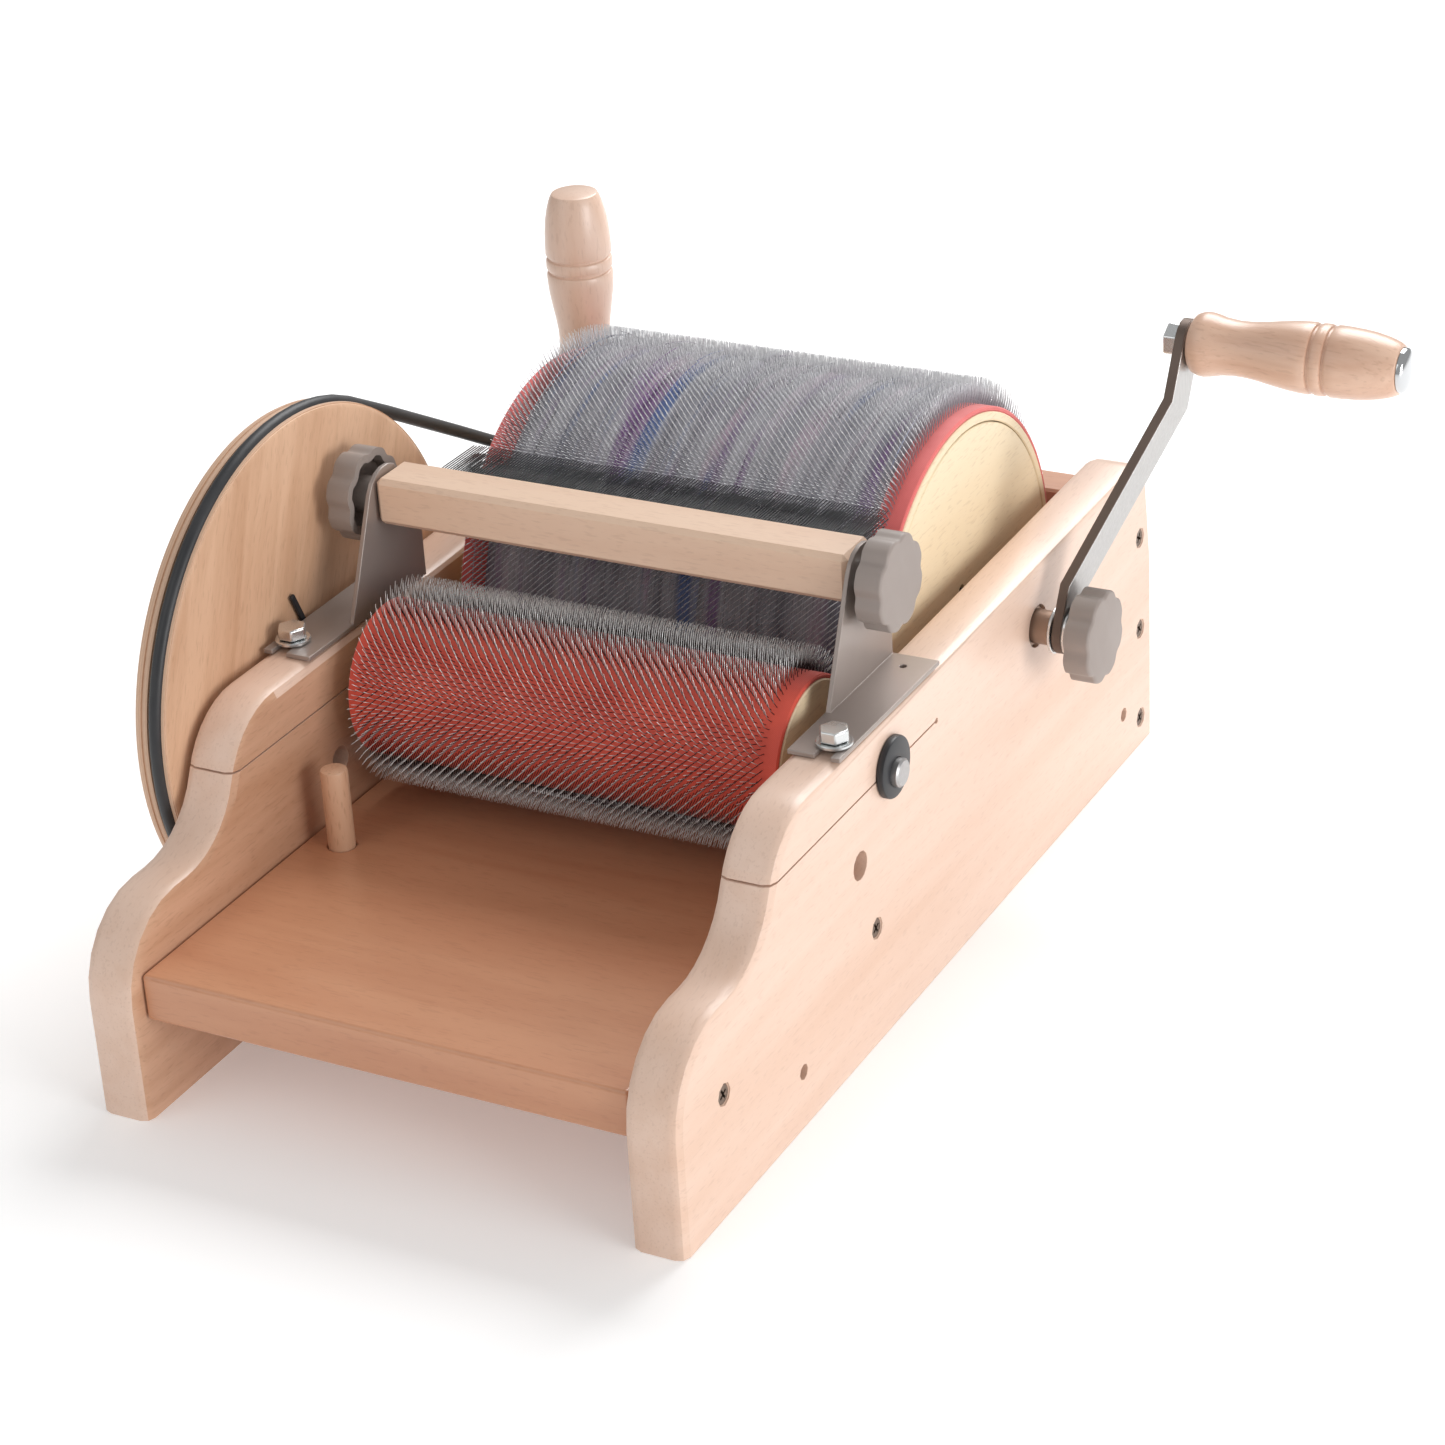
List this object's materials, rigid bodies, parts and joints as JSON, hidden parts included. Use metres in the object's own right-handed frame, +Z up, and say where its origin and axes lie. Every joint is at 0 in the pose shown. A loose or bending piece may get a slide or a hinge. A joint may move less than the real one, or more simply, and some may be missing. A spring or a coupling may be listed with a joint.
{
  "type": "hand-cranked drum carder",
  "caption": "Hand-cranked drum carder for wool: wooden side panels hold a large and a small toothed drum, a wooden belt wheel, a brush bar on brackets, a feed tray and a doffer awl.",
  "frame": {"origin": "centre of the bounding box, on the table plane", "axes": "+Z up; +Y from the feed tray towards the large drum; +X towards the crank side"},
  "size_m": [0.4354, 0.4614, 0.256],
  "materials": {
    "beech": "satin lacquered beech, pale pinkish cream with fine straight grain",
    "tray_wood": "satin lacquered beech, warmer and a little redder",
    "wheel_wood": "satin plywood with a diagonal darker face grain",
    "end_wood": "matte pale yellowish wood fibre board",
    "red_cloth": "red card clothing foundation set with fine bent steel wires",
    "steel_wire": "fine bent steel wires in a pinkish red foundation cloth",
    "steel": "bright turned steel",
    "arm_steel": "satin steel bar with darker edges",
    "zinc": "bright zinc plated hardware",
    "chrome": "polished domed cap",
    "bronze": "dark bronze brown sleeve",
    "dark_steel": "dark brown cross slot wood screws",
    "painted_steel": "satin taupe brown painted sheet",
    "knob_plastic": "matte taupe brown moulded plastic",
    "black_plastic": "matte black moulded plastic",
    "rubber": "round black drive belt",
    "bristle": "stiff black bristles"
  },
  "bodies": {
    "frame": {"side_panel_left": "beech", "side_panel_right": "beech", "base_board": "tray_wood", "rear_board": "tray_wood", "tray_peg": "tray_wood", "base_screw_left_front": "dark_steel", "base_screw_left_rear": "dark_steel", "base_screw_right_front": "dark_steel", "base_screw_right_rear": "dark_steel", "rear_screw_left_low": "dark_steel", "rear_screw_left_middle": "dark_steel", "rear_screw_left_high": "dark_steel", "rear_screw_right_low": "dark_steel", "rear_screw_right_middle": "dark_steel", "rear_screw_right_high": "dark_steel", "swift_bush_left": "bronze", "swift_bush_right": "bronze", "brush_bracket_left": "painted_steel", "brush_bracket_right": "painted_steel", "bracket_bolt_left": "zinc", "bracket_bolt_right": "zinc", "bracket_washer_left": "zinc", "bracket_washer_right": "zinc", "idler_stud": "zinc", "drive_belt": "rubber"},
    "swift": {"swift_shell": "end_wood", "swift_end_left": "end_wood", "swift_end_right": "end_wood", "swift_cloth": "steel_wire", "swift_axle": "steel", "swift_pulley": "black_plastic", "crank_spacer": "bronze", "crank_washer": "zinc", "crank_arm": "arm_steel", "crank_lock_washer": "zinc", "grip_bolt": "chrome", "grip_nut": "zinc"},
    "crank_knob": {"crank_knob": "knob_plastic"},
    "grip": {"crank_grip": "beech"},
    "adjuster": {"eccentric_bush_left": "black_plastic", "eccentric_bush_right": "black_plastic"},
    "licker": {"licker_core": "end_wood", "licker_cloth": "red_cloth", "licker_axle": "steel", "drive_wheel_inner_disc": "wheel_wood", "drive_wheel_outer_disc": "wheel_wood", "wheel_nut": "zinc"},
    "idler": {"idler_pulley": "black_plastic"},
    "brush": {"brush_bar": "beech", "brush_channel": "painted_steel", "brush_bristles": "bristle", "brush_washer_left": "zinc", "brush_washer_right": "zinc"},
    "brush_knob_left": {"brush_knob_left": "knob_plastic", "brush_stud_left": "zinc"},
    "brush_knob_right": {"brush_knob_right": "knob_plastic", "brush_stud_right": "zinc"},
    "awl": {"awl_handle": "beech", "awl_rod": "steel"}
  },
  "joints": [
    {"name": "swift_spin", "type": "hinge", "parent": "frame", "child": "swift", "pos_m": [-0.05645, 0.10345, 0.1126], "axis": [1, 0, 0], "continuous": true},
    {"name": "crank_knob_turn", "type": "hinge", "parent": "swift", "child": "crank_knob", "pos_m": [0.09355, 0.10345, 0.1126], "axis": [1, 0, 0], "range_deg": [0, 360]},
    {"name": "grip_spin", "type": "hinge", "parent": "swift", "child": "grip", "pos_m": [0.12175, 0.16829, 0.22401], "axis": [1, 0, 0], "continuous": true},
    {"name": "bush_turn", "type": "hinge", "parent": "frame", "child": "adjuster", "pos_m": [-0.05645, -0.04425, 0.1176], "axis": [1, 0, 0], "range_deg": [-20, 20], "deforming": ["drive_belt"]},
    {"name": "licker_spin", "type": "hinge", "parent": "adjuster", "child": "licker", "pos_m": [-0.05645, -0.04425, 0.1156], "axis": [1, 0, 0], "continuous": true},
    {"name": "idler_spin", "type": "hinge", "parent": "frame", "child": "idler", "pos_m": [-0.19785, 0.15525, 0.1075], "axis": [1, 0, 0], "continuous": true},
    {"name": "brush_tilt", "type": "hinge", "parent": "frame", "child": "brush", "pos_m": [-0.05645, -0.01805, 0.1852], "axis": [1, 0, 0], "range_deg": [0, 60]},
    {"name": "brush_knob_left_turn", "type": "hinge", "parent": "brush", "child": "brush_knob_left", "pos_m": [-0.17085, -0.01805, 0.1852], "axis": [1, 0, 0], "range_deg": [-360, 0]},
    {"name": "brush_knob_right_turn", "type": "hinge", "parent": "brush", "child": "brush_knob_right", "pos_m": [0.05795, -0.01805, 0.1852], "axis": [1, 0, 0], "range_deg": [0, 360]},
    {"name": "awl_lift", "type": "slide", "parent": "frame", "child": "awl", "axis": [0, 0, 1], "range_m": [0, 0.06]}
  ],
  "couplings": [
    {"joint": "licker_spin", "follows": "swift_spin", "ratio": -0.25},
    {"joint": "idler_spin", "follows": "swift_spin", "ratio": -1.3937}
  ]
}
